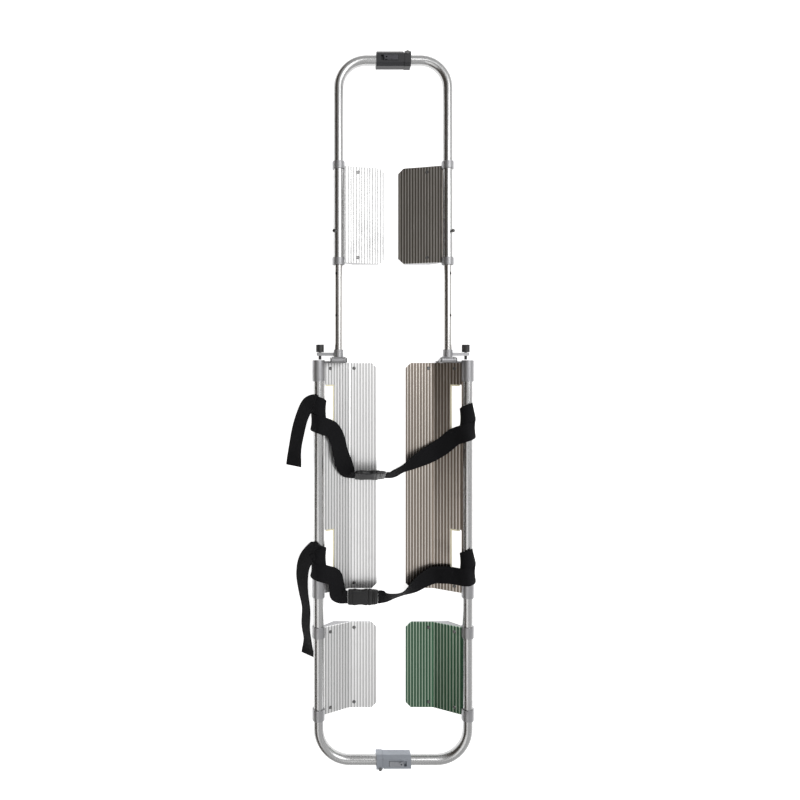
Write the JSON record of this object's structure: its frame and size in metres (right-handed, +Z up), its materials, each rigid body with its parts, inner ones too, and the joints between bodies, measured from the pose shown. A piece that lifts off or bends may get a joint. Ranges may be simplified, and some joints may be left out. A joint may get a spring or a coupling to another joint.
{
  "type": "folding scoop stretcher",
  "caption": "Folding scoop stretcher of aluminium tube: halves part along the middle, foot section telescopes and folds back, ribbed panels, end couplers, webbing straps.",
  "frame": {"origin": "bottom centre of the stretcher's box, straps left out: on the ground, under the middle", "axes": "+X across, towards the right half; +Y along the stretcher, towards the foot end; +Z up"},
  "size_m": [0.5264, 1.964, 0.0814],
  "materials": {
    "rail_tube": "brushed",
    "leg_tube": "polished",
    "ribbed_panel": "ribbed, satin",
    "cast_bracket": "grey cast",
    "rivet_steel": "satin",
    "grip_plastic": "satin",
    "knob_metal": "fluted",
    "head_coupler_cast": "grey satin",
    "foot_coupler_cast": "dark grey satin",
    "latch_cast": "satin",
    "black_webbing": "woven",
    "buckle_plastic": "moulded"
  },
  "bodies": {
    "left_torso": {"left_rail": "rail_tube", "left_torso_panel": "ribbed_panel", "left_head_panel": "ribbed_panel", "left_hinge_bracket": "cast_bracket", "left_torso_bracket": "cast_bracket", "left_head_bracket_upper": "cast_bracket", "left_head_bracket_lower": "cast_bracket", "left_rivets": "rivet_steel", "left_grip_upper": "grip_plastic", "left_grip_lower": "grip_plastic", "left_hinge_pin": "rivet_steel", "head_coupler_fork": "head_coupler_cast", "head_coupler_pin": "rivet_steel", "upper_strap_left": "black_webbing", "upper_buckle_socket": "buckle_plastic", "lower_strap_left": "black_webbing", "lower_buckle_socket": "buckle_plastic"},
    "left_link": {"left_leg_tube": "leg_tube", "left_hinge_arm": "cast_bracket"},
    "left_lock": {"left_lock_knob": "knob_metal"},
    "left_foot": {"left_foot_tube": "rail_tube", "left_foot_panel": "ribbed_panel", "left_foot_bracket_upper": "cast_bracket", "left_foot_bracket_lower": "cast_bracket", "left_foot_rivets": "rivet_steel", "foot_coupler_body": "foot_coupler_cast"},
    "left_length_button": {"left_button": "knob_metal"},
    "right_torso": {"right_rail": "rail_tube", "right_torso_panel": "ribbed_panel", "right_head_panel": "ribbed_panel", "right_hinge_bracket": "cast_bracket", "right_torso_bracket": "cast_bracket", "right_head_bracket_upper": "cast_bracket", "right_head_bracket_lower": "cast_bracket", "right_rivets": "rivet_steel", "right_grip_upper": "grip_plastic", "right_grip_lower": "grip_plastic", "right_hinge_pin": "rivet_steel", "head_coupler_body": "head_coupler_cast", "head_coupler_tongue": "rivet_steel", "upper_strap_right": "black_webbing", "upper_buckle_plug": "buckle_plastic", "lower_strap_right": "black_webbing", "lower_buckle_plug": "buckle_plastic"},
    "right_link": {"right_leg_tube": "leg_tube", "right_hinge_arm": "cast_bracket"},
    "right_lock": {"right_lock_knob": "knob_metal"},
    "right_foot": {"right_foot_tube": "rail_tube", "right_foot_panel": "ribbed_panel", "right_foot_bracket_upper": "cast_bracket", "right_foot_bracket_lower": "cast_bracket", "right_foot_rivets": "rivet_steel", "foot_coupler_fork": "foot_coupler_cast", "foot_coupler_tongue": "rivet_steel", "foot_coupler_pin": "rivet_steel"},
    "right_length_button": {"right_button": "knob_metal"},
    "head_release": {"head_latch": "latch_cast"},
    "foot_release": {"foot_latch": "latch_cast"}
  },
  "joints": [
    {"name": "scissor_open", "type": "hinge", "parent": "left_torso", "child": "right_torso", "pos_m": [-0.037, -0.975, 0.052], "axis": [0, 0, -1], "range_deg": [0, 12]},
    {"name": "left_fold", "type": "hinge", "parent": "left_torso", "child": "left_link", "pos_m": [0, 0.138, 0.064], "axis": [1, 0, 0], "range_deg": [0, 180]},
    {"name": "right_fold", "type": "hinge", "parent": "right_torso", "child": "right_link", "pos_m": [0, 0.138, 0.064], "axis": [1, 0, 0], "range_deg": [0, 180]},
    {"name": "left_extend", "type": "slide", "parent": "left_link", "child": "left_foot", "axis": [0, 1, 0], "range_m": [-0.23, 0]},
    {"name": "right_extend", "type": "slide", "parent": "right_link", "child": "right_foot", "axis": [0, 1, 0], "range_m": [-0.23, 0]},
    {"name": "left_lock_pull", "type": "slide", "parent": "left_link", "child": "left_lock", "axis": [0, 1, 0], "range_m": [0, 0.01], "stiffness_N_per_m": 300},
    {"name": "right_lock_pull", "type": "slide", "parent": "right_link", "child": "right_lock", "axis": [0, 1, 0], "range_m": [0, 0.01], "stiffness_N_per_m": 300},
    {"name": "left_button_press", "type": "slide", "parent": "left_foot", "child": "left_length_button", "axis": [0.5736, 0, -0.8192], "range_m": [0, 0.005], "stiffness_N_per_m": 300},
    {"name": "right_button_press", "type": "slide", "parent": "right_foot", "child": "right_length_button", "axis": [-0.5736, 0, -0.8192], "range_m": [0, 0.005], "stiffness_N_per_m": 300},
    {"name": "head_latch_slide", "type": "slide", "parent": "right_torso", "child": "head_release", "axis": [1, 0, 0], "range_m": [0, 0.007], "stiffness_N_per_m": 300},
    {"name": "foot_latch_slide", "type": "slide", "parent": "left_foot", "child": "foot_release", "axis": [-1, 0, 0], "range_m": [0, 0.007], "stiffness_N_per_m": 300}
  ],
  "couplings": [
    {"joint": "right_fold", "follows": "left_fold", "ratio": 1},
    {"joint": "right_extend", "follows": "left_extend", "ratio": 1}
  ]
}
